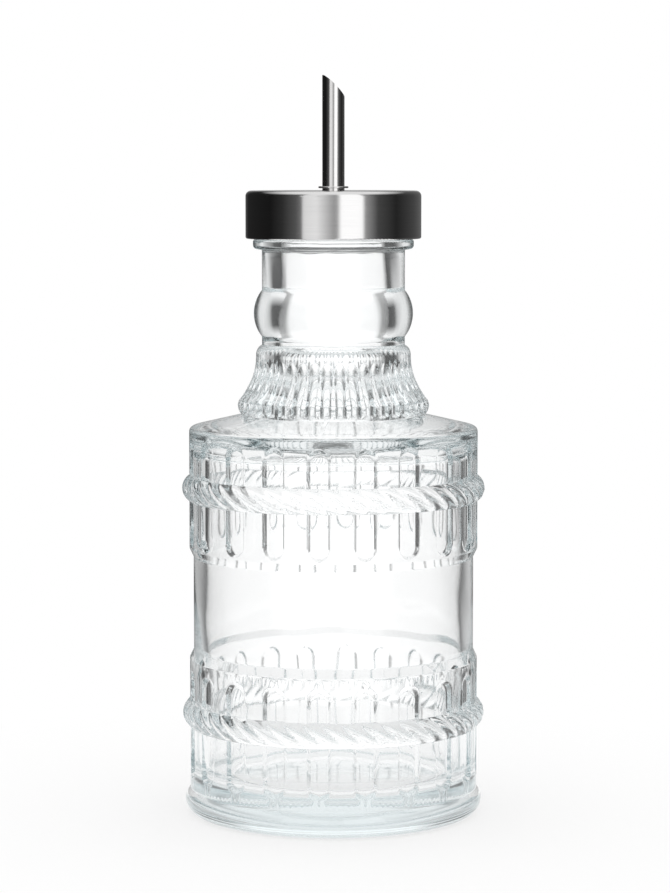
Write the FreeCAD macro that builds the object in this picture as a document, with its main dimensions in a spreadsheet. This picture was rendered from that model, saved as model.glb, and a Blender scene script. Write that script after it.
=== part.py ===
# Oil bottle: pressed clear glass with two fluted bands, twisted rope rings and a ribbed skirt, closed by a
# steel screw cap that carries a steel pour tube. Millimetres, +Z up, origin at the centre of the surface
# that the bottle stands on. Angles round the bottle run from -Y, the front, towards +X, in degrees.
import FreeCAD
import Part
import Sketcher
import math
import os
import sys

SIZES = {
    # foot and base
    "FootHeight": 8.2,          # the round bead that the bottle stands on
    "FootReach": 1.3,           # how far that bead stands out past the bands
    "BearingWidth": 5.0,        # flat ring under the foot
    "PushUp": 2.0,              # rise of the hollow under the base
    "PushUpFlat": 12.0,         # radius of that hollow's flat middle
    "BaseThickness": 9.5,       # from the standing surface to the cavity
    # body, from the standing surface up
    "BandDiameter": 78.2,
    "BandRelief": 1.1,          # how far a band stands out past the plain middle
    "BandStep": 2.3,            # height of the sloping step at a band's edge
    "LowerBandHeight": 42.6,
    "PlainHeight": 30.0,
    "UpperBandHeight": 32.7,
    "ShoulderRise": 3.4,
    "ShoulderRadius": 1.4,
    "BodyWall": 3.5,            # glass round the cavity in the plain middle
    "ShoulderWall": 4.2,        # glass over the cavity at the shoulder's edge
    "CavityRise": 5.2,          # climb of the cavity's roof towards the neck
    "CavityRadius": 6.0,
    "ThroatRadius": 5.0,
    # how far off the glass or the tube the cuts start
    "CutStandoff": 0.6,
    # flutes in the bands
    "FluteCount": 20,
    "FluteTurn": -5.5,          # angle of the flute nearest the front
    "FluteWidth": 6.2,
    "FluteDepth": 0.95,
    "FluteSlope": 34.0,         # lean of a flute's walls
    "FluteMargin": 3.0,         # plain glass over the flutes
    "LowerFluteLift": 3.5,      # plain glass between the foot and the lower flutes
    "UpperFluteLift": 0.7,      # the same over the upper band's step
    # rope rings
    "RopeHeight": 6.7,
    "RopeRelief": 1.95,         # how far a rope stands out past its band
    "LowerRopeDrop": 15.1,      # from a band's top to the middle of its rope
    "UpperRopeDrop": 16.4,
    "RopeRoot": 0.8,            # how far its ring reaches in past the flutes' floors
    "StrandCount": 48,
    "StrandLean": 52.0,         # angle of the strands from upright
    "StrandDepth": 0.9,
    "StrandFade": 0.6,          # how much shallower the valleys are where they run out
    "StrandCrest": 0.5,         # left uncut along the top of each strand
    # ribbed skirt under the neck
    "SkirtHeight": 18.9,
    "SkirtReach": 6.25,         # from the neck out to where the flare meets the lip
    "SkirtLip": 3.9,
    "SkirtUndercut": 0.85,
    "LipRadius": 3.2,
    "CollarReach": 1.75,        # from the neck out to where the flare starts
    "CollarHeight": 5.3,
    "CollarTaper": 0.15,
    "CollarCrown": 3.0,         # height of the collar's rounded top
    "CrownRise": 0.4,           # how far that top bulges from a straight slope
    "FlareRadius": 21.0,
    "RibCount": 40,
    "RibTurn": 4.5,
    "ValleyDepth": 0.9,
    "ValleyWidth": 2.6,         # across the mouth of a valley between ribs
    "ValleyFloor": 1.0,
    "ValleyTopDrop": 4.0,       # from the collar's crown down to where the valleys run deepest
    "ValleyOverrun": 1.1,       # how much further the valleys' bend runs than down to the lip
    "ValleyFootGap": 0.7,
    # neck
    "NeckDiameter": 38.6,
    "NeckWall": 4.9,
    "NeckGroove": 2.2,          # plain stretch between the skirt and the bulge
    "BulgeReach": 2.2,          # how far the bulge stands out past the neck
    "BulgeHeight": 12.6,
    "NeckHeight": 13.8,         # from the bulge to the cap's lower edge
    "BeadReach": 2.4,           # the same for the bead under the cap
    "BeadHeight": 2.6,
    "BeadRadius": 1.2,
    "BeadGap": 0.2,             # from the bead up to the cap
    "FinishReach": 0.7,         # the same for the plain round inside the cap
    "RimRadius": 0.6,
    # cap and seal
    "ThreadRoom": 2.5,          # from the glass to the cap's inside
    "CapHeight": 12.9,
    "CapWall": 1.2,
    "CapTop": 1.0,
    "CapTopRadius": 1.5,
    "CapEdgeRadius": 0.5,
    "SealThickness": 1.2,
    "SealClearance": 0.4,
    # pour tube
    "TubeDiameter": 6.0,
    "TubeWall": 0.5,
    "TubeReach": 30.9,          # from the cap's top to the tip
    "TubeClearance": 0.05,      # round the tube, in the cap's hole
    "TubeCut": 45.0,            # slope of the cut end
    "TubeCutTurn": 18.0,        # the cut's low side, from +X towards the back
    "StopReach": 1.05,          # thin ring round the tube, just over the cap
    "StopThickness": 0.5,
    "StopRadius": 0.2,
    "StopGap": 0.65,
    "SpreadReach": 1.3,         # the tube's lower end, spread under the cap's top
    "SpreadThickness": 0.8,
}

ROPE_FLAT = 30                  # degrees of the ropes' round section in one flat

doc = FreeCAD.newDocument("OilBottle")
sheet = doc.addObject("Spreadsheet::Sheet", "Sizes")
for row, (name, number) in enumerate(SIZES.items(), start=1):
    sheet.set(f"A{row}", name)
    sheet.set(f"B{row}", str(number))
    sheet.setAlias(f"B{row}", name)
doc.recompute()


class Term:
    """A number together with the expression that gives it from the sheet."""

    def __init__(self, value, text):
        self.value = value
        self.text = text

    def __add__(self, other):
        return Term(self.value + term(other).value, f"({self.text} + {term(other).text})")

    def __sub__(self, other):
        return Term(self.value - term(other).value, f"({self.text} - {term(other).text})")

    def __mul__(self, other):
        return Term(self.value * term(other).value, f"({self.text} * {term(other).text})")

    def __truediv__(self, other):
        return Term(self.value / term(other).value, f"({self.text} / {term(other).text})")

    def __neg__(self):
        return Term(-self.value, f"(0 - {self.text})")


def term(number):
    return number if isinstance(number, Term) else Term(float(number), repr(float(number)))


def size(name):
    return Term(float(SIZES[name]), f"Sizes.{name}")


def root(square):
    return Term(math.sqrt(square.value), f"sqrt({square.text})")


def sine(angle):
    return Term(math.sin(math.radians(angle.value)), f"sin({angle.text})")


def cosine(angle):
    return Term(math.cos(math.radians(angle.value)), f"cos({angle.text})")


def arcsine(ratio):
    return Term(math.degrees(math.asin(ratio.value)), f"asin({ratio.text})")


def arch(half_span, rise):
    """Radius of the arc that rises by rise over a span."""
    return (half_span * half_span + rise * rise) / (rise * 2)


# Levels above the standing surface, and radii, all from the sizes.
lowerBandTop = size("LowerBandHeight")
upperBandFoot = lowerBandTop + size("PlainHeight")
shoulderLevel = upperBandFoot + size("UpperBandHeight")
skirtFoot = shoulderLevel + size("ShoulderRise")
lipTop = skirtFoot + size("SkirtLip")
skirtTop = skirtFoot + size("SkirtHeight")
collarFoot = skirtTop - size("CollarHeight")
collarTop = skirtTop - size("CollarCrown")
bulgeFoot = skirtTop + size("NeckGroove")
bulgeTop = bulgeFoot + size("BulgeHeight")
capFoot = bulgeTop + size("NeckHeight")
capTop = capFoot + size("CapHeight")
capUnderside = capTop - size("CapTop")
rimLevel = capUnderside - size("SealThickness")
beadTop = capFoot - size("BeadGap")
beadFoot = beadTop - size("BeadHeight")

bandRadius = size("BandDiameter") / 2
footBead = size("FootHeight") / 2
footBeadCentre = bandRadius + size("FootReach") - footBead
footOverlap = bandRadius - footBeadCentre
bandFoot = footBead + root(footBead * footBead - footOverlap * footOverlap)
plainRadius = bandRadius - size("BandRelief")
cavityRadius = plainRadius - size("BodyWall")
neckRadius = size("NeckDiameter") / 2
boreRadius = neckRadius - size("NeckWall")
skirtRadius = neckRadius + size("SkirtReach")
skirtFootRadius = skirtRadius - size("SkirtUndercut")
collarFootRadius = neckRadius + size("CollarReach")
collarTopRadius = collarFootRadius - size("CollarTaper")
beadRadius = neckRadius + size("BeadReach")
finishRadius = neckRadius + size("FinishReach")
capInside = finishRadius + size("ThreadRoom")
capRadius = capInside + size("CapWall")
tubeRadius = size("TubeDiameter") / 2
tubeHoleRadius = tubeRadius + size("TubeClearance")


# ---- sketches ----

def plane(body, role):
    return next(f for f in body.Origin.OriginFeatures if f.Role == role)


def new_sketch(body, name, role, turn_axis=None, turn=None, offset=None):
    """A sketch on one of the body's planes, turned about one of its own axes and moved in that plane's frame."""
    sketch = body.newObject("Sketcher::SketchObject", name)
    sketch.AttachmentSupport = [(plane(body, role), "")]
    sketch.MapMode = "FlatFace"
    if turn is not None:
        sketch.AttachmentOffset = FreeCAD.Placement(
            FreeCAD.Vector(), FreeCAD.Rotation(FreeCAD.Vector(*turn_axis), turn.value))
        sketch.setExpression(".AttachmentOffset.Rotation.Angle", turn.text)
    for letter, distance in (offset or {}).items():
        sketch.setExpression(f".AttachmentOffset.Base.{letter}", distance.text)
    return sketch


def bind(sketch, number, *constraint):
    index = sketch.addConstraint(Sketcher.Constraint(*constraint, number.value))
    sketch.setExpression(f"Constraints[{index}]", number.text)


def hold(sketch, geometry, end, x, y):
    """Keeps a point of the sketch at (x, y)."""
    for kind, number, axis in (("DistanceX", x, -2), ("DistanceY", y, -1)):
        if number.value == 0:
            sketch.addConstraint(Sketcher.Constraint("PointOnObject", geometry, end, axis))
        else:
            bind(sketch, number, kind, -1, 1, geometry, end)


def vector(x, y):
    return FreeCAD.Vector(x, y, 0)


def arc_between(start, end, radius, side):
    """An arc from start to end, centred to the left of that way if side is 1 and to the right if it is -1.
    Returns the arc and its two end numbers, because a sketch's arcs all run anticlockwise."""
    chord = end - start
    middle = (start + end) * 0.5
    left = vector(-chord.y, chord.x).normalize()
    centre = middle + left * (side * math.sqrt(max(radius ** 2 - chord.Length ** 2 / 4, 0)))
    first, last = (start, end) if side > 0 else (end, start)
    angles = [math.atan2(p.y - centre.y, p.x - centre.x) for p in (first, last)]
    circle = Part.Circle(centre, FreeCAD.Vector(0, 0, 1), radius)
    return Part.ArcOfCircle(circle, *angles), ((1, 2) if side > 0 else (2, 1))


class Outline:
    """A closed outline whose every corner and radius is bound to the sheet."""

    def __init__(self):
        self.corners = []

    def point(self, x, y):
        self.corners.append(("point", term(x), term(y), None, 0))
        return self

    def rounded(self, x, y, radius):
        """A corner at (x, y), rounded off."""
        self.corners.append(("rounded", term(x), term(y), radius, 0))
        return self

    def arc(self, x, y, radius, side):
        """An arc from the last corner to (x, y), centred to its left (1) or right (-1)."""
        self.corners.append(("arc", term(x), term(y), radius, side))
        return self

    def draw(self, sketch):
        corners, count = self.corners, len(self.corners)
        places = [vector(x.value, y.value) for kind, x, y, radius, side in corners]
        cuts = {}
        for i, (kind, x, y, radius, side) in enumerate(corners):
            back = (places[i - 1] - places[i]).normalize()
            on = (places[(i + 1) % count] - places[i]).normalize()
            if kind == "rounded":
                reach = radius.value / math.tan(back.getAngle(on) / 2)
                turn = 1 if back.cross(on).z < 0 else -1
                cuts[i] = (places[i] + back * reach, places[i] + on * reach, turn)
        edges, rounds = [], {}
        for i, (kind, x, y, radius, side) in enumerate(corners):
            previous = (i - 1) % count
            start = cuts[previous][1] if previous in cuts else places[previous]
            end = cuts[i][0] if i in cuts else places[i]
            shape, ends = Part.LineSegment(start, end), (1, 2)
            if kind == "arc":
                shape, ends = arc_between(start, end, radius.value, side)
            edges.append((sketch.addGeometry(shape), *ends))
            if i in cuts:
                shape, ends = arc_between(cuts[i][0], cuts[i][1], radius.value, cuts[i][2])
                rounds[i] = (sketch.addGeometry(shape), *ends)
        for i, (kind, x, y, radius, side) in enumerate(corners):
            edge, start, end = edges[i]
            following, next_start, next_end = edges[(i + 1) % count]
            if kind == "rounded":
                curve, curve_start, curve_end = rounds[i]
                corner = sketch.addGeometry(Part.Point(places[i]), True)
                hold(sketch, corner, 1, x, y)
                sketch.addConstraint([
                    Sketcher.Constraint("Tangent", edge, end, curve, curve_start),
                    Sketcher.Constraint("Tangent", curve, curve_end, following, next_start),
                    Sketcher.Constraint("PointOnObject", corner, 1, edge),
                    Sketcher.Constraint("PointOnObject", corner, 1, following)])
                bind(sketch, radius, "Radius", curve)
            else:
                sketch.addConstraint(Sketcher.Constraint("Coincident", edge, end, following, next_start))
                hold(sketch, edge, end, x, y)
            if kind == "arc":
                bind(sketch, radius, "Radius", edge)
        return sketch


def axis_line(sketch, x):
    """A construction line across the sketch at x, for a feature to turn about."""
    line = sketch.addGeometry(Part.LineSegment(vector(x.value, -1), vector(x.value, 1)), True)
    for end, y in ((1, -1), (2, 1)):
        hold(sketch, line, end, x, term(y))


# ---- features ----

def revolve(body, name, sketch, kind="Revolution", axis="V_Axis", angle=None):
    feature = body.newObject(f"PartDesign::{kind}", name)
    feature.Profile = sketch
    feature.ReferenceAxis = (sketch, [axis])
    feature.Angle = 360
    feature.Midplane = angle is not None
    if angle is not None:
        feature.setExpression("Angle", angle.text)
    return feature


def pocket(body, name, sketch, length, slope=None):
    feature = body.newObject("PartDesign::Pocket", name)
    feature.Profile = sketch
    feature.setExpression("Length", length.text)
    if slope is not None:
        feature.setExpression("TaperAngle", slope.text)
    return feature


def round_pattern(body, name, features, count):
    """Repeats the features round the bottle's own axis."""
    pattern = body.newObject("PartDesign::PolarPattern", name)
    pattern.Originals = features
    pattern.Axis = (plane(body, "Z_Axis"), [""])
    pattern.Angle = 360
    pattern.setExpression("Occurrences", count.text)
    pattern.Refine = False
    body.Tip = pattern
    return pattern


def new_body(label, level=None):
    body = doc.addObject("PartDesign::Body", label)
    body.Label = label
    if level is not None:
        body.setExpression(".Placement.Base.z", level.text)
    return body


# ---- the glass ----

def glass_profile(body):
    """Outside from the bearing ring up to the rim, then the cavity back down, right of the axis."""
    bearing_edge = footBeadCentre - size("BearingWidth")
    step = size("BandStep")
    bulge = arch(size("BulgeHeight") / 2, size("BulgeReach"))
    crown_width = collarTopRadius - neckRadius
    crown_chord = root(crown_width * crown_width + size("CollarCrown") * size("CollarCrown"))
    crown = arch(crown_chord / 2, size("CrownRise"))
    outline = Outline()
    outline.point(0, size("PushUp"))
    outline.point(size("PushUpFlat"), size("PushUp"))
    outline.point(bearing_edge, 0)
    outline.point(footBeadCentre, 0)
    outline.arc(bandRadius, bandFoot, footBead, 1)
    outline.point(bandRadius, lowerBandTop)
    outline.point(plainRadius, lowerBandTop + step)
    outline.point(plainRadius, upperBandFoot - step)
    outline.point(bandRadius, upperBandFoot)
    outline.rounded(bandRadius, shoulderLevel, size("ShoulderRadius"))
    outline.point(skirtFootRadius, skirtFoot)
    outline.arc(skirtRadius, lipTop, size("LipRadius"), 1)
    outline.arc(collarFootRadius, collarFoot, size("FlareRadius"), -1)
    outline.point(collarTopRadius, collarTop)
    outline.arc(neckRadius, skirtTop, crown, 1)
    outline.point(neckRadius, bulgeFoot)
    outline.arc(neckRadius, bulgeTop, bulge, 1)
    outline.point(neckRadius, beadFoot)
    outline.rounded(beadRadius, beadFoot, size("BeadRadius"))
    outline.rounded(beadRadius, beadTop, size("RimRadius"))
    outline.point(finishRadius, beadTop)
    outline.rounded(finishRadius, rimLevel, size("RimRadius"))
    outline.rounded(boreRadius, rimLevel, size("RimRadius"))
    roof = shoulderLevel - size("ShoulderWall")
    outline.rounded(boreRadius, roof + size("CavityRise"), size("ThroatRadius"))
    outline.rounded(cavityRadius, roof, size("CavityRadius"))
    outline.rounded(cavityRadius, size("BaseThickness"), size("CavityRadius"))
    outline.point(0, size("BaseThickness"))
    return outline.draw(new_sketch(body, "GlassProfile", "XZ_Plane"))


def flute(body, name, foot, top):
    """One flute: a shallow round-ended recess with leaning walls, cut from a plane just off the band."""
    standoff = size("CutStandoff")
    slope = size("FluteSlope")
    spread = standoff * sine(slope) / cosine(slope)
    half = size("FluteWidth") / 2 + spread
    low, high = foot - spread + half, top + spread - half
    turn = size("FluteTurn")
    reach = bandRadius + standoff
    sketch = new_sketch(body, f"{name}Outline", "XZ_Plane", (0, 1, 0), turn,
                        {"x": reach * sine(turn), "z": reach * cosine(turn)})
    outline = Outline()
    outline.arc(half, low, half, 1)
    outline.point(half, high)
    outline.arc(0, high + half, half, 1)
    outline.arc(-half, high, half, 1)
    outline.point(-half, low)
    outline.arc(0, low - half, half, 1)
    outline.draw(sketch)
    return pocket(body, name, sketch, standoff + size("FluteDepth"), slope)


def rope(body, name, level):
    """A rounded ring, fused over the flutes of its band. Its section is an ellipse drawn with short flats."""
    half = size("RopeHeight") / 2
    heel = bandRadius - size("FluteDepth") - size("RopeRoot")
    outline = Outline()
    outline.point(heel, level - half)
    for tilt in range(-90, 91, ROPE_FLAT):
        out, up = math.cos(math.radians(tilt)), math.sin(math.radians(tilt))
        outline.point(bandRadius + size("RopeRelief") * out, level + half * up)
    outline.point(heel, level + half)
    sketch = outline.draw(new_sketch(body, f"{name}Section", "XZ_Plane"))
    return revolve(body, name, sketch)


def strand_valley(body, name, level):
    """One slanting valley between two rounded strands. It turns about an axis inside the ring, so that it runs
    over the rope's back and fades out at both of its edges. Half way up a flank it is a quarter as deep."""
    lean = size("StrandLean")
    crest = bandRadius + size("RopeRelief")
    half_run = size("RopeHeight") / 2 / cosine(lean)
    aside = half_run * sine(lean)
    drop = crest - root(bandRadius * bandRadius - aside * aside) - size("StrandFade")
    bend = arch(half_run, drop)
    pitch = crest * (2 * math.pi) / size("StrandCount") * cosine(lean)
    half = (pitch - size("StrandCrest")) / 2
    depth = size("StrandDepth")
    over = crest + size("CutStandoff")
    sketch = new_sketch(body, f"{name}Section", "YZ_Plane", (1, 0, 0), lean - 90, {"y": level})
    outline = Outline()
    outline.point(over, half)
    outline.point(crest, half)
    outline.point(crest - depth / 4, half / 2)
    outline.point(crest - depth, 0)
    outline.point(crest - depth / 4, -half / 2)
    outline.point(crest, -half)
    outline.point(over, -half)
    outline.draw(sketch)
    axis_line(sketch, crest - bend)
    return revolve(body, name, sketch, "Groove", "Axis0", arcsine(half_run / bend) * 2)


def skirt_valley(body):
    """One valley between two ribs of the skirt: a cut that turns about an axis outside the flare, so that it
    rises out of the collar in a rounded end, and a straight one down over the lip."""
    depth = size("ValleyDepth")
    turn = size("RibTurn") - 90
    start_level = collarTop - size("ValleyTopDrop")
    start = collarFootRadius - depth
    fall = start_level - lipTop
    bend = arch(fall, skirtRadius - depth - start)
    section = new_sketch(body, "ValleySection", "XY_Plane", (0, 0, 1), turn, {"z": start_level})
    valley_outline(start).draw(section)
    axis_line(section, start + bend)
    sweep = arcsine(fall / bend) * size("ValleyOverrun") * 2
    flare_cut = revolve(body, "Valley", section, "Groove", "Axis0", sweep)
    standoff = size("CutStandoff")
    lip = new_sketch(body, "LipValleyOutline", "XY_Plane", (0, 0, 1), turn, {"z": lipTop + standoff})
    valley_outline(skirtRadius - depth).draw(lip)
    return [flare_cut, pocket(body, "LipValley", lip, size("SkirtLip") + standoff - size("ValleyFootGap"))]


def valley_outline(floor):
    """Across one valley: a narrow floor at that radius and two walls that lean apart."""
    narrow, wide = size("ValleyFloor") / 2, size("ValleyWidth") / 2
    reach = size("ValleyDepth") + size("CutStandoff")
    mouth = narrow + (wide - narrow) * reach / size("ValleyDepth")
    outline = Outline()
    outline.point(floor, -narrow)
    outline.point(floor + reach, -mouth)
    outline.point(floor + reach, mouth)
    outline.point(floor, narrow)
    return outline


def make_glass():
    body = new_body("bottle_glass")
    revolve(body, "Glass", glass_profile(body))
    lower = flute(body, "LowerFlute", bandFoot + size("LowerFluteLift"), lowerBandTop - size("FluteMargin"))
    upper = flute(body, "UpperFlute", upperBandFoot + size("UpperFluteLift"),
                  shoulderLevel - size("FluteMargin"))
    round_pattern(body, "Flutes", [lower, upper], size("FluteCount"))
    levels = [lowerBandTop - size("LowerRopeDrop"), shoulderLevel - size("UpperRopeDrop")]
    for name, level in zip(("LowerRope", "UpperRope"), levels):
        rope(body, name, level)
    valleys = [strand_valley(body, f"{name}Valley", level) for name, level in zip(("Lower", "Upper"), levels)]
    round_pattern(body, "Strands", valleys, size("StrandCount"))
    round_pattern(body, "Ribs", skirt_valley(body), size("RibCount"))
    return body


# ---- cap, seal and pour tube ----

def make_cap():
    body = new_body("steel_cap", capFoot)
    height = size("CapHeight")
    outline = Outline()
    outline.point(tubeHoleRadius, height)
    outline.rounded(capRadius, height, size("CapTopRadius"))
    outline.rounded(capRadius, 0, size("CapEdgeRadius"))
    outline.rounded(capInside, 0, size("CapEdgeRadius"))
    outline.point(capInside, height - size("CapTop"))
    outline.point(tubeHoleRadius, height - size("CapTop"))
    revolve(body, "CapShell", outline.draw(new_sketch(body, "CapProfile", "XZ_Plane")))
    return body


def make_seal():
    body = new_body("cap_seal", rimLevel)
    outside = capInside - size("SealClearance")
    outline = Outline()
    outline.point(boreRadius, 0)
    outline.point(outside, 0)
    outline.point(outside, size("SealThickness"))
    outline.point(boreRadius, size("SealThickness"))
    revolve(body, "Seal", outline.draw(new_sketch(body, "SealProfile", "XZ_Plane")))
    return body


def make_tube():
    """Stands on the underside of the cap's top. Its foot is spread below it, and a thin stop rings it above."""
    body = new_body("pour_tube", capUnderside)
    bore = tubeRadius - size("TubeWall")
    spread = tubeRadius + size("SpreadReach")
    stop = tubeRadius + size("StopReach")
    stop_foot = size("CapTop") + size("StopGap")
    stop_top = stop_foot + size("StopThickness")
    tip = size("CapTop") + size("TubeReach")
    edge = size("StopRadius")
    outline = Outline()
    outline.point(bore, -size("SpreadThickness"))
    outline.point(spread, -size("SpreadThickness"))
    outline.point(spread, 0)
    outline.point(tubeRadius, 0)
    outline.point(tubeRadius, stop_foot)
    outline.rounded(stop, stop_foot, edge)
    outline.rounded(stop, stop_top, edge)
    outline.point(tubeRadius, stop_top)
    outline.point(tubeRadius, tip)
    outline.point(bore, tip)
    revolve(body, "Tube", outline.draw(new_sketch(body, "TubeProfile", "XZ_Plane")))
    slope = size("TubeCut")
    across = tubeRadius + size("CutStandoff")
    drop = across * sine(slope) / cosine(slope)
    middle = tip - tubeRadius * sine(slope) / cosine(slope)
    cutter = new_sketch(body, "CutOutline", "XZ_Plane", (0, 1, 0), size("TubeCutTurn"))
    outline = Outline()
    outline.point(-across, middle + drop)
    outline.point(across, middle - drop)
    outline.point(across, middle + drop)
    outline.draw(cutter)
    cut = pocket(body, "SlantCut", cutter, size("TubeDiameter") * 2)
    cut.Midplane = True
    return body


def check(item):
    """Stops the build on an object that failed without raising."""
    if {"Invalid", "Error"} & set(item.State):
        sys.exit(f"{item.Name}: {item.State}")


parts = [make_glass(), make_cap(), make_seal(), make_tube()]
doc.recompute()
for item in doc.Objects:
    check(item)
os.makedirs("parts", exist_ok=True)
for part in parts:
    shape = part.Shape
    if shape.isNull() or not shape.isValid() or len(shape.Solids) != 1:
        sys.exit(f"{part.Label}: no single valid solid")
    shape.exportStep(f"parts/{part.Label}.step")
    box = shape.BoundBox
    print(f"{part.Label}: {shape.Volume:.1f} mm3, {len(shape.Faces)} faces, "
          f"z {box.ZMin:.2f} to {box.ZMax:.2f}, across {box.XLength:.2f}")
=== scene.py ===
import bpy
import math
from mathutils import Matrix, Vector


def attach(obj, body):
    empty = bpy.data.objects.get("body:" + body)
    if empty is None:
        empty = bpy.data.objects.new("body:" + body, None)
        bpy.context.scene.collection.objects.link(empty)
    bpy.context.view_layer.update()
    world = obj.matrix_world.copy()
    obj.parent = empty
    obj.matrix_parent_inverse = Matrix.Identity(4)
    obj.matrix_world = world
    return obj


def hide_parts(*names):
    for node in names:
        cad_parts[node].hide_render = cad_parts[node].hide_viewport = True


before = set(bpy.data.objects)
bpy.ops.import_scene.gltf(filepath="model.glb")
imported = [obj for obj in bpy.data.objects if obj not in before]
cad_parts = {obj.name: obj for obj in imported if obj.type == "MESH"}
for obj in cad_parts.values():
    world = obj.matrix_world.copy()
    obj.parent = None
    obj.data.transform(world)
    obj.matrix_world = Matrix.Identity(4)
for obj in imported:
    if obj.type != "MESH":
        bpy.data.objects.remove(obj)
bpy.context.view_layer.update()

mm = 0.001


def blendStep(x):
    # soft ramp from 0 to 1
    x = min(max(x, 0.0), 1.0)
    return x * x * (3 - 2 * x)


def spread(start, end, count):
    # evenly spaced values after start, up to and including end
    return [start + (end - start) * (i + 1) / count for i in range(count)]


def lineRows(start, end, count):
    rs, zs = spread(start[0], end[0], count), spread(start[1], end[1], count)
    return list(zip(rs, zs))


def arcRows(start, end, radius, side, count):
    # side 1: centre to the left of the way from start to end, -1: to the right
    a, b = Vector(start), Vector(end)
    chord = b - a
    left = Vector((-chord.y, chord.x)).normalized()
    centre = (a + b) / 2 + left * side * math.sqrt(max(radius ** 2 - chord.length ** 2 / 4, 0))
    first, last = a - centre, b - centre
    turn = side * first.angle(last)
    rows = []
    for t in spread(0, turn, count):
        x, y = first.x * math.cos(t) - first.y * math.sin(t), first.x * math.sin(t) + first.y * math.cos(t)
        rows.append((centre.x + x, centre.y + y))
    return rows


def roundedRows(corners, step=14):
    # corners: (radius from the axis, height, corner rounding); the corners are joined by straight stretches
    rows = [corners[0][:2]]
    for before, corner, after in zip(corners, corners[1:], corners[2:]):
        here = Vector(corner[:2])
        back, on = (Vector(p[:2]) - here for p in (before, after))
        back.normalize()
        on.normalize()
        if not corner[2]:
            rows.append(tuple(here))
            continue
        turn = math.pi - back.angle(on)
        reach = corner[2] * math.tan(turn / 2)
        start, end = here + back * reach, here + on * reach
        side = 1 if back.x * on.y - back.y * on.x < 0 else -1
        rows.append(tuple(start))
        rows += arcRows(start, end, corner[2], side, max(2, round(math.degrees(turn) / step)))
    rows.append(corners[-1][:2])
    return rows


def evenAngles(count):
    return [2 * math.pi * i / count for i in range(count)]


class RingMesh:
    # rings of points round the axis, stitched into one skin; angle 0 is the front, -Y, and grows towards +X
    def __init__(self):
        self.verts, self.faces, self.last = [], [], None

    def ring(self, angles, place):
        # place(angle) gives (radius from the axis, height) in millimetres
        start = len(self.verts)
        for angle in angles:
            r, z = place(angle)
            self.verts.append((r * mm * math.sin(angle), -r * mm * math.cos(angle), z * mm))
        new = (start, angles)
        if self.last:
            self.stitch(self.last, new)
        self.last = new

    def rows(self, angles, rows):
        for r, z in rows:
            self.ring(angles, lambda angle: (r, z))

    def stitch(self, low, high):
        (a, lowAngles), (b, highAngles) = low, high
        n, m = len(lowAngles), len(highAngles)
        if n == m:
            self.faces += [(a + i, a + (i + 1) % n, b + (i + 1) % n, b + i) for i in range(n)]
            return
        i = j = 0
        while i < n or j < m:
            nextLow = lowAngles[i + 1] if i + 1 < n else 2 * math.pi
            nextHigh = highAngles[j + 1] if j + 1 < m else 2 * math.pi
            if j >= m or (i < n and nextLow <= nextHigh):
                self.faces.append((a + i, a + (i + 1) % n, b + j % m))
                i += 1
            else:
                self.faces.append((a + i % n, b + (j + 1) % m, b + j))
                j += 1

    def cap(self, height):
        # closes the last ring with a middle point, or starts the first one
        start, angles = self.last
        n = len(angles)
        self.verts.append((0, 0, height * mm))
        middle = len(self.verts) - 1
        if start == 0:
            self.faces += [(middle, (i + 1) % n, i) for i in range(n)]
        else:
            self.faces += [(start + i, start + (i + 1) % n, middle) for i in range(n)]

    def build(self, name, sharpAngle=38):
        mesh = bpy.data.meshes.new(name)
        mesh.from_pydata(self.verts, [], self.faces)
        mesh.validate()
        mesh.shade_smooth()
        mesh.set_sharp_from_angle(angle=math.radians(sharpAngle))
        piece = bpy.data.objects.new(name, mesh)
        bpy.context.scene.collection.objects.link(piece)
        return piece


bottle = {
    "pushUp": 2.0, "pushUpFlat": 12.0, "bearing": (31.3, 36.3),
    "footBead": 4.1, "footTop": 7.1,
    "band": 39.1, "plain": 38.0, "step": 2.3,
    "lowerBandTop": 42.6, "upperBandFoot": 72.6, "shoulder": 105.3, "shoulderRound": 1.4,
    "skirtFoot": (24.7, 108.7), "lip": (25.55, 112.6), "lipRound": 3.2,
    "collarFoot": (21.05, 122.3), "flareRound": 21.0, "collarTop": (20.9, 124.6),
    "neck": 19.3, "neckFoot": 127.6, "bulge": (129.8, 142.4, 2.2),
    "bead": (21.7, 153.4, 156.0), "finish": 20.0, "rim": 166.9, "bore": 14.4,
    "throat": 106.3, "throatRound": 5.0, "cavity": 34.5, "roof": 101.1, "cavityRound": 6.0,
    "floor": 9.5,
    # roundings of the corners
    "pushUpRound": 12.0, "bearingRound": 2.0, "bandTopRound": 0.7, "bandFootRound": 0.5, "stepRound": 1.2,
    "crownRound": 2.9, "underBeadRound": 0.5, "beadRound": 1.1, "beadTopRound": 0.6, "overBeadRound": 0.3,
    "rimRound": 0.6,
    "columns": 160, "insideStep": 4.0,
}
flutes = {
    "count": 20, "turn": -5.5, "width": 6.2, "depth": 0.95, "slope": 34.0, "soft": 0.15,
    "lower": (10.6, 39.6), "upper": (73.3, 102.3),
    "columns": 28, "endStep": 0.43, "plainStep": 3.2,
}
rope = {
    "count": 48, "height": 6.7, "relief": 1.95, "lean": 52.0, "valley": 0.9, "valleyEnd": 0.3,
    "middles": (27.5, 88.9), "columns": 12, "rows": 14,
    # how far outside the rope's height the band's rings stop, and the rope's own edge lies
    "bandStop": 0.05, "edge": 0.04,
}
ribs = {
    "count": 40, "turn": 4.5, "depth": 0.9, "round": 1.5, "foot": 108.9, "footRise": 1.2, "deepest": 120.6,
    "top": 124.7, "columns": 14, "lipRows": 11, "flareRows": 14, "collarRows": 5,
}
ripple = {"size": 0.035, "waves": ((3, 61, 0.4), (5, 97, 2.1), (8, 142, 4.0), (13, 211, 1.3))}


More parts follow.
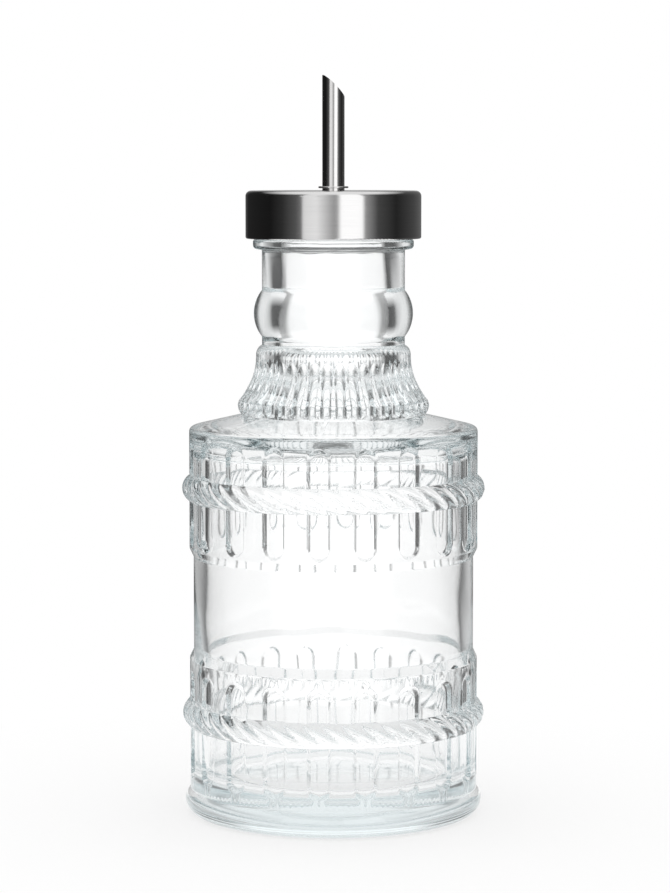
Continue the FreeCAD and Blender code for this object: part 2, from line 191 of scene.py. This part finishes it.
def foldAngle(angle, turn, count):
    # signed angle to the nearest of count places round the bottle, the first of them at turn degrees
    pitch = 2 * math.pi / count
    off = (angle - math.radians(turn)) / pitch
    return (off - round(off)) * pitch


def bandPlace(z, span):
    # the band's skin at height z, with the flutes of the given span of heights
    half = flutes["width"] / 2
    wall = flutes["depth"] * math.tan(math.radians(flutes["slope"]))
    soft = flutes["soft"]
    low, high = span[0] + half, span[1] - half
    beyond = low - z if z < low else max(z - high, 0)

    def place(angle):
        off = foldAngle(angle, flutes["turn"], flutes["count"])
        inside = half - math.hypot(bottle["band"] * off, beyond)
        floor = (bottle["band"] - flutes["depth"]) / math.cos(off)
        ramp = blendStep((inside + soft) / (wall + 2 * soft))
        return bottle["band"] - ramp * (bottle["band"] - floor), z
    return place


def fluteAngles():
    # even columns that start at the front
    return evenAngles(flutes["count"] * flutes["columns"])


def fluteHeights(span, bottom, top):
    # heights between bottom and top, close together at the flutes' round ends and wide apart between
    half = flutes["width"] / 2 + flutes["soft"]
    dense = [(span[0] - flutes["soft"], span[0] + half), (span[1] - half, span[1] + flutes["soft"])]
    heights, z = [], bottom
    while z < top - 1e-6:
        heights.append(z)
        near = any(a - 1e-6 <= z < b - 1e-6 for a, b in dense)
        ahead = min([a for a, b in dense if a > z + 1e-6] + [top])
        z = min(z + (flutes["endStep"] if near else flutes["plainStep"]), ahead, top)
    return heights + [top]


def ropePlace(t, middle):
    # t runs from -1 at the ring's lower edge to 1 at its upper edge
    half, relief = rope["height"] / 2, rope["relief"]
    bend = (half * half + relief * relief) / (2 * relief)
    reach = math.asin(half / bend)
    r = bottle["band"] + relief - bend + bend * math.cos(reach * t)
    rise = bend * math.sin(reach * t)
    lean = math.tan(math.radians(rope["lean"])) / (bottle["band"] + relief)
    depth = rope["valleyEnd"] + (rope["valley"] - rope["valleyEnd"]) * (1 - t * t)
    pitch = 2 * math.pi / rope["count"]

    def place(angle):
        off = (angle + rise * lean) / pitch + 0.5   # valleys cross mid-height at whole pitches from the front
        off = 2 * (off - round(off))
        return r - depth * off * off, middle + rise
    return place


def flareRadius(z):
    # outside of the skirt between the lip and the collar
    (r1, z1), (r2, z2) = bottle["lip"], bottle["collarFoot"]
    a, b = Vector((r1, z1)), Vector((r2, z2))
    chord = b - a
    left = Vector((-chord.y, chord.x)).normalized()
    centre = (a + b) / 2 - left * math.sqrt(bottle["flareRound"] ** 2 - chord.length ** 2 / 4)
    return centre.x - math.sqrt(max(bottle["flareRound"] ** 2 - (z - centre.y) ** 2, 0))


def skirtPlace(r, z):
    # a valley between two ribs rises out of the collar above and stops over the lip's foot
    deep = bottle["lip"][0] - ribs["depth"]
    if z > ribs["deepest"]:
        climb = (z - ribs["deepest"]) / (ribs["top"] - ribs["deepest"])
        deep = flareRadius(ribs["deepest"]) - ribs["depth"] * (1 - climb * climb)
    elif z > bottle["lip"][1]:
        deep = flareRadius(z) - ribs["depth"]
    else:
        deep = r - (r - deep) * blendStep((z - ribs["foot"]) / ribs["footRise"])

    def place(angle):
        x = abs(r * foldAngle(angle, ribs["turn"], ribs["count"]))
        if x >= ribs["round"]:
            return r, z
        return min(r, deep + ribs["round"] - math.sqrt(ribs["round"] ** 2 - x * x)), z
    return place


def ripplePlace(r, z):
    # the inside is fire-polished, and a little uneven
    def place(angle):
        wave = sum(math.sin(k * angle + z * q / 1000 + s) for k, q, s in ripple["waves"])
        return r + ripple["size"] * wave, z
    return place


def bandRings(skin, span, bottom, top):
    middle = next(m for m in rope["middles"] if span[0] < m < span[1])
    half = rope["height"] / 2
    angles, ropeAngles = fluteAngles(), evenAngles(rope["count"] * rope["columns"])
    for z in fluteHeights(span, bottom, middle - half - rope["bandStop"]):
        skin.ring(angles, bandPlace(z, span))
    skin.ring(ropeAngles, lambda angle: (bottle["band"], middle - half - rope["edge"]))
    for i in range(rope["rows"] + 1):
        skin.ring(ropeAngles, ropePlace(2 * i / rope["rows"] - 1, middle))
    skin.ring(ropeAngles, lambda angle: (bottle["band"], middle + half + rope["edge"]))
    for z in fluteHeights(span, middle + half + rope["bandStop"], top):
        skin.ring(angles, bandPlace(z, span))


def makeGlass():
    b = bottle
    skin = RingMesh()
    plainAngles = evenAngles(b["columns"])
    band, plain = b["band"], b["plain"]
    # foot
    skin.rows(plainAngles, [(b["pushUpFlat"] / 3, b["pushUp"])])
    skin.cap(b["pushUp"])
    bearingIn, bearingOut = b["bearing"]
    foot = [(b["pushUpFlat"] / 2, b["pushUp"], 0), (b["pushUpFlat"], b["pushUp"], b["pushUpRound"]),
            (bearingIn, 0, b["bearingRound"]), (bearingOut, 0, 0)]
    skin.rows(plainAngles, roundedRows(foot))
    skin.rows(plainAngles, arcRows((bearingOut, 0), (band, b["footTop"]), b["footBead"], 1, 12))
    skin.rows(plainAngles, [(band, b["footTop"] + 0.35)])
    # lower band
    bandRings(skin, flutes["lower"], b["footTop"] + 0.6, b["lowerBandTop"] - 0.6)
    # plain middle between the two steps
    middle = [(band, b["lowerBandTop"] - 0.55, 0), (band, b["lowerBandTop"], b["bandTopRound"]),
              (plain, b["lowerBandTop"] + b["step"], b["stepRound"]),
              (plain, b["upperBandFoot"] - b["step"], b["stepRound"]),
              (band, b["upperBandFoot"], b["bandFootRound"]), (band, b["upperBandFoot"] + 0.25, 0)]
    skin.rows(plainAngles, roundedRows(middle, 6))
    # upper band and shoulder
    bandRings(skin, flutes["upper"], b["upperBandFoot"] + 0.3, b["shoulder"] - 2.2)
    shoulder = [(band, b["shoulder"] - 2.1, 0), (band, b["shoulder"], b["shoulderRound"]),
                (*b["skirtFoot"], 0)]
    skin.rows(plainAngles, roundedRows(shoulder, 9))
    # skirt
    ribAngles = evenAngles(ribs["count"] * ribs["columns"])
    lipRows = arcRows(b["skirtFoot"], b["lip"], b["lipRound"], 1, ribs["lipRows"])
    flareHeights = spread(b["lip"][1], b["collarFoot"][1], ribs["flareRows"])
    crown = arcRows(b["collarTop"], (b["neck"], b["neckFoot"]), b["crownRound"], 1, 7)
    collarRows = lineRows(b["collarFoot"], b["collarTop"], ribs["collarRows"])
    for r, z in [b["skirtFoot"]] + lipRows + [(flareRadius(z), z) for z in flareHeights] + collarRows:
        skin.ring(ribAngles, skirtPlace(r, z))
    skin.rows(plainAngles, crown)
    # neck, bulge, bead and finish
    low, high, swell = b["bulge"]
    half = (high - low) / 2
    bulgeBend = (half * half + swell * swell) / (2 * swell)
    swelling = arcRows((b["neck"], low), (b["neck"], high), bulgeBend, 1, 20)
    skin.rows(plainAngles, [(b["neck"], low)] + swelling)
    beadR, beadLow, beadHigh = b["bead"]
    finish = [(b["neck"], b["bulge"][1] + 1, 0), (b["neck"], beadLow, b["underBeadRound"]),
              (beadR, beadLow, b["beadRound"]), (beadR, beadHigh, b["beadTopRound"]),
              (b["finish"], beadHigh, b["overBeadRound"]), (b["finish"], b["rim"], b["rimRound"]),
              (b["bore"], b["rim"], b["rimRound"]), (b["bore"], b["rim"] - 3, 0)]
    skin.rows(plainAngles, roundedRows(finish, 18))
    # inside, from the mouth down
    inside = [(b["bore"], b["rim"] - 4, 0), (b["bore"], b["throat"], b["throatRound"]),
              (b["cavity"], b["roof"], b["cavityRound"]), (b["cavity"], b["floor"], b["cavityRound"]),
              (b["cavity"] * 0.2, b["floor"], 0)]
    rows = roundedRows(inside, 8)
    for (r1, z1), (r2, z2) in zip(rows, rows[1:]):
        parts = max(1, round(math.hypot(r2 - r1, z2 - z1) / b["insideStep"]))
        for r, z in lineRows((r1, z1), (r2, z2), parts):
            skin.ring(plainAngles, ripplePlace(r, z))
    skin.cap(b["floor"])
    piece = skin.build("glassSkin")
    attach(piece, "root")
    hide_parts("bottle_glass")
    return piece


def newMaterial(name):
    material = bpy.data.materials.new(name)
    material.use_nodes = True
    return material, material.node_tree, material.node_tree.nodes["Principled BSDF"]


def mathNode(tree, operation, *inputs):
    # inputs are sockets to link or plain numbers
    made = tree.nodes.new("ShaderNodeMath")
    made.operation = operation
    for slot, value in zip(made.inputs, inputs):
        if isinstance(value, (int, float)):
            slot.default_value = value
        else:
            tree.links.new(value, slot)
    return made.outputs[0]


def noiseNode(tree, vector, scale, detail):
    made = tree.nodes.new("ShaderNodeTexNoise")
    made.inputs["Scale"].default_value = scale
    made.inputs["Detail"].default_value = detail
    tree.links.new(vector, made.inputs["Vector"])
    return made.outputs["Fac"]


def bumpNode(tree, height, strength, distance):
    made = tree.nodes.new("ShaderNodeBump")
    made.inputs["Strength"].default_value = strength
    made.inputs["Distance"].default_value = distance
    tree.links.new(height, made.inputs["Height"])
    return made.outputs["Normal"]


pressedGlass = {
    "refraction": 1.5, "roughness": 0.05, "tint": (0.16, 0.44, 0.50, 1), "density": 3.2,
    "waveSize": 85.0, "waveStrength": 0.08, "waveDepth": 0.0006,
}


def makeGlassMaterial():
    g = pressedGlass
    material, tree, shader = newMaterial("pressedGlass")
    shader.inputs["Base Color"].default_value = (1, 1, 1, 1)
    shader.inputs["Roughness"].default_value = g["roughness"]
    shader.inputs["IOR"].default_value = g["refraction"]
    shader.inputs["Transmission Weight"].default_value = 1.0
    coords = tree.nodes.new("ShaderNodeTexCoord")
    waves = noiseNode(tree, coords.outputs["Object"], g["waveSize"], 1)   # the slow waves of pressed glass
    tree.links.new(bumpNode(tree, waves, g["waveStrength"], g["waveDepth"]), shader.inputs["Normal"])
    absorb = tree.nodes.new("ShaderNodeVolumeAbsorption")
    absorb.inputs["Color"].default_value = g["tint"]
    absorb.inputs["Density"].default_value = g["density"]
    tree.links.new(absorb.outputs[0], tree.nodes["Material Output"].inputs["Volume"])
    return material


def makeBrushGroup():
    # fine turned lines round the upright axis, level on a wall and in circles on a top
    group = bpy.data.node_groups.new("turnedLines", "ShaderNodeTree")
    for name, value in (("Lines", 6000.0), ("Smooth", 0.12), ("Rough", 0.2)):
        socket = group.interface.new_socket(name, in_out="INPUT", socket_type="NodeSocketFloat")
        socket.default_value = value
    for name in ("Tone", "Roughness", "Height"):
        group.interface.new_socket(name, in_out="OUTPUT", socket_type="NodeSocketFloat")
    given, made = group.nodes.new("NodeGroupInput"), group.nodes.new("NodeGroupOutput")
    coords, split = group.nodes.new("ShaderNodeTexCoord"), group.nodes.new("ShaderNodeSeparateXYZ")
    join = group.nodes.new("ShaderNodeCombineXYZ")
    group.links.new(coords.outputs["Object"], split.inputs[0])
    x, y, z = split.outputs
    radius = mathNode(group, "SQRT", mathNode(group, "ADD", mathNode(group, "MULTIPLY", x, x),
                                              mathNode(group, "MULTIPLY", y, y)))
    lines = given.outputs["Lines"]
    around = mathNode(group, "ARCTAN2", y, x)
    for slot, value in zip(join.inputs, (mathNode(group, "MULTIPLY", radius, lines),
                                         mathNode(group, "MULTIPLY", z, lines),
                                         mathNode(group, "MULTIPLY", around, 1.5))):
        group.links.new(value, slot)
    tone = noiseNode(group, join.outputs[0], 1.0, 3)
    group.links.new(tone, made.inputs["Tone"])
    group.links.new(tone, made.inputs["Height"])
    span = mathNode(group, "SUBTRACT", given.outputs["Rough"], given.outputs["Smooth"])
    roughness = mathNode(group, "MULTIPLY_ADD", tone, span, given.outputs["Smooth"])
    group.links.new(roughness, made.inputs["Roughness"])
    return group


capSteel = {
    "name": "capSteel", "dark": (0.66, 0.655, 0.66, 1), "light": (0.80, 0.795, 0.79, 1), "lines": 5200.0,
    "smooth": 0.10, "rough": 0.22, "bump": 0.10, "depth": 0.00003, "grain": 0.8,
}
tubeSteel = {
    "name": "tubeSteel", "dark": (0.70, 0.69, 0.69, 1), "light": (0.82, 0.81, 0.80, 1), "lines": 2600.0,
    "smooth": 0.08, "rough": 0.15, "bump": 0.05, "depth": 0.00002, "grain": 0.2,
}


def makeSteelMaterial(finish, lines):
    material, tree, shader = newMaterial(finish["name"])
    shader.inputs["Metallic"].default_value = 1.0
    shader.inputs["Anisotropic"].default_value = finish["grain"]
    shader.inputs["Anisotropic Rotation"].default_value = 0.25
    tangent = tree.nodes.new("ShaderNodeTangent")
    tangent.direction_type = "RADIAL"
    tangent.axis = "Z"
    tree.links.new(tangent.outputs[0], shader.inputs["Tangent"])
    brush = tree.nodes.new("ShaderNodeGroup")
    brush.node_tree = lines
    for name in ("Lines", "Smooth", "Rough"):
        brush.inputs[name].default_value = finish[name.lower()]
    tree.links.new(brush.outputs["Roughness"], shader.inputs["Roughness"])
    mix = tree.nodes.new("ShaderNodeMix")
    mix.data_type = "RGBA"
    mix.inputs[6].default_value = finish["dark"]
    mix.inputs[7].default_value = finish["light"]
    tree.links.new(brush.outputs["Tone"], mix.inputs["Factor"])
    tree.links.new(mix.outputs[2], shader.inputs["Base Color"])
    bump = bumpNode(tree, brush.outputs["Height"], finish["bump"], finish["depth"])
    tree.links.new(bump, shader.inputs["Normal"])
    return material


seal = {
    "dark": (0.62, 0.62, 0.60, 1), "light": (0.74, 0.74, 0.72, 1), "roughness": 0.5, "speckle": 900.0,
    "bump": 0.2, "depth": 0.00005,
}


def makeSealMaterial():
    material, tree, shader = newMaterial("sealRubber")
    coords = tree.nodes.new("ShaderNodeTexCoord")
    speckle = noiseNode(tree, coords.outputs["Object"], seal["speckle"], 2)
    mix = tree.nodes.new("ShaderNodeMix")
    mix.data_type = "RGBA"
    mix.inputs[6].default_value = seal["dark"]
    mix.inputs[7].default_value = seal["light"]
    tree.links.new(speckle, mix.inputs["Factor"])
    tree.links.new(mix.outputs[2], shader.inputs["Base Color"])
    tree.links.new(bumpNode(tree, speckle, seal["bump"], seal["depth"]), shader.inputs["Normal"])
    shader.inputs["Roughness"].default_value = seal["roughness"]
    return material


studio = {
    "camera": (0.00043, -0.823, 0.1748), "pitch": 5.2, "lens": 122.8, "sensor": 36,
    "floor": 0.17, "floorSides": 96, "shadow": 0.3, "fade": (0.3, 0.95),
    # light round the room as (direction in degrees, level), with 0 on the camera's side
    # what the outside mirrors: a soft panel left of the camera, a brighter one right of it, and a dark room
    "mirror": [(-180, 0.5), (-168, 0.1), (-150, 0.02), (-90, 0.01), (-70, 0.03), (-50, 0.1), (-42, 0.2),
               (-40, 0.9), (-22, 1.0), (0, 0.4), (5, 0.4), (10, 1.35), (38, 1.35), (42, 0.35), (60, 0.07),
               (90, 0.02), (130, 0.07), (168, 0.15), (180, 0.5)],
    # what shows through the glass: a white wall behind, in front and at each side, with dark strips between
    "through": [(-180, 1.16), (-157, 1.16), (-147, 0.4), (-130, 0.06), (-113, 0.06), (-105, 1.1), (-77, 1.1),
                (-71, 0.06), (-62, 0.06), (-54, 1.0), (54, 1.0), (62, 0.06), (71, 0.06), (77, 1.1),
                (105, 1.1), (113, 0.06), (130, 0.06), (147, 0.4), (157, 1.16), (180, 1.16)],
    # what shows after a reflection inside the glass
    "turnedBack": [(-180, 1.0), (-172, 1.0), (-164, 0.8), (-150, 0.5), (-136, 0.12), (-60, 0.05), (-46, 0.8),
                   (0, 1.0), (46, 0.8), (60, 0.05), (136, 0.12), (150, 0.5), (164, 0.8), (172, 1.0),
                   (180, 1.0)],
    "ceiling": (0.55, 0.85), "steep": (0.2, 0.45), "bounces": (28, 20, 28),
}


def makeStage():
    # a round white floor that fades into the background, and keeps a soft shadow round the foot
    radius = studio["floor"]
    rim = [(radius * math.cos(a), radius * math.sin(a), 0) for a in evenAngles(studio["floorSides"])]
    mesh = bpy.data.meshes.new("floor")
    mesh.from_pydata(rim, [], [tuple(range(len(rim)))])
    floor = bpy.data.objects.new("floor", mesh)
    bpy.context.scene.collection.objects.link(floor)
    material, tree, shader = newMaterial("whiteFloor")
    tree.nodes.remove(shader)
    mix = tree.nodes.new("ShaderNodeMixShader")
    glow, cloth = tree.nodes.new("ShaderNodeEmission"), tree.nodes.new("ShaderNodeBsdfDiffuse")
    cloth.inputs["Color"].default_value = (1, 1, 1, 1)
    coords, distance = tree.nodes.new("ShaderNodeTexCoord"), tree.nodes.new("ShaderNodeVectorMath")
    distance.operation = "LENGTH"
    fade = tree.nodes.new("ShaderNodeMapRange")
    fade.inputs["From Min"].default_value = radius * studio["fade"][0]
    fade.inputs["From Max"].default_value = radius * studio["fade"][1]
    fade.inputs["To Min"].default_value = studio["shadow"]
    fade.inputs["To Max"].default_value = 0
    tree.links.new(coords.outputs["Object"], distance.inputs[0])
    tree.links.new(distance.outputs["Value"], fade.inputs["Value"])
    tree.links.new(fade.outputs[0], mix.inputs[0])
    tree.links.new(glow.outputs[0], mix.inputs[1])
    tree.links.new(cloth.outputs[0], mix.inputs[2])
    tree.links.new(mix.outputs[0], tree.nodes["Material Output"].inputs["Surface"])
    mesh.materials.append(material)


def ringLight(tree, part, stops):
    # levels of light by direction round the upright axis
    made = tree.nodes.new("ShaderNodeValToRGB")
    points = made.color_ramp.elements
    first, last = stops[0][1], stops[-1][1]
    points[0].color = (first, first, first, 1)
    points[1].color = (last, last, last, 1)
    for degrees, level in stops[1:-1]:
        points.new((degrees + 180) / 360).color = (level, level, level, 1)
    tree.links.new(part, made.inputs[0])
    return made.outputs[0]


def pickColor(tree, factor, low, high):
    made = tree.nodes.new("ShaderNodeMix")
    made.data_type = "RGBA"
    tree.links.new(factor, made.inputs["Factor"])
    for slot, value in ((made.inputs[6], low), (made.inputs[7], high)):
        if isinstance(value, tuple):
            slot.default_value = value
        else:
            tree.links.new(value, slot)
    return made.outputs[2]


def makeWorld():
    world = bpy.data.worlds.new("studioWorld")
    bpy.context.scene.world = world
    world.use_nodes = True
    tree = world.node_tree
    back = tree.nodes["Background"]
    coords, split = tree.nodes.new("ShaderNodeTexCoord"), tree.nodes.new("ShaderNodeSeparateXYZ")
    tree.links.new(coords.outputs["Generated"], split.inputs[0])
    x, y, z = split.outputs
    around = mathNode(tree, "ARCTAN2", x, mathNode(tree, "MULTIPLY", y, -1.0))
    part = mathNode(tree, "MULTIPLY_ADD", around, 0.5 / math.pi, 0.5)
    # camera and diffuse rays see plain white, and the others see the ring for the way they came
    mirror = ringLight(tree, part, studio["mirror"])
    through = ringLight(tree, part, studio["through"])
    white = (1, 1, 1, 1)
    overhead = tree.nodes.new("ShaderNodeMapRange")
    overhead.inputs["From Min"].default_value, overhead.inputs["From Max"].default_value = studio["ceiling"]
    tree.links.new(z, overhead.inputs["Value"])
    mirror = pickColor(tree, overhead.outputs[0], mirror, white)
    path = tree.nodes.new("ShaderNodeLightPath")
    turned = mathNode(tree, "MINIMUM", path.outputs["Glossy Depth"], 1)
    steep = tree.nodes.new("ShaderNodeMapRange")
    steep.inputs["From Min"].default_value, steep.inputs["From Max"].default_value = studio["steep"]
    tree.links.new(mathNode(tree, "ABSOLUTE", z), steep.inputs["Value"])
    turnedBack = pickColor(tree, steep.outputs[0], ringLight(tree, part, studio["turnedBack"]), white)
    through = pickColor(tree, turned, through, turnedBack)
    through = pickColor(tree, overhead.outputs[0], through, white)
    inGlass = mathNode(tree, "MINIMUM", path.outputs["Transmission Depth"], 1)
    level = pickColor(tree, inGlass, mirror, through)
    plain = mathNode(tree, "MAXIMUM", path.outputs["Is Camera Ray"], path.outputs["Is Diffuse Ray"])
    tree.links.new(pickColor(tree, plain, level, white), back.inputs["Color"])


def makeCamera():
    data = bpy.data.cameras.new("studioCamera")
    data.lens = studio["lens"]
    data.sensor_width = studio["sensor"]
    camera = bpy.data.objects.new("studioCamera", data)
    camera.location = studio["camera"]
    camera.rotation_euler = (math.radians(90 - studio["pitch"]), 0, 0)
    bpy.context.scene.collection.objects.link(camera)
    bpy.context.scene.camera = camera


def dress(nodeName, material):
    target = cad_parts[nodeName]
    target.data.materials.clear()
    target.data.materials.append(material)


makeCamera()
makeWorld()
makeStage()
print("stage ready")
glass = makeGlass()
glass.data.materials.append(makeGlassMaterial())
print("glass ready:", len(glass.data.polygons), "faces")
turnedLines = makeBrushGroup()
dress("steel_cap", makeSteelMaterial(capSteel, turnedLines))
dress("pour_tube", makeSteelMaterial(tubeSteel, turnedLines))
dress("cap_seal", makeSealMaterial())
print("cap, tube and seal ready")
scene = bpy.context.scene
scene.view_settings.view_transform = "Standard"
scene.cycles.max_bounces, scene.cycles.glossy_bounces, scene.cycles.transmission_bounces = studio["bounces"]
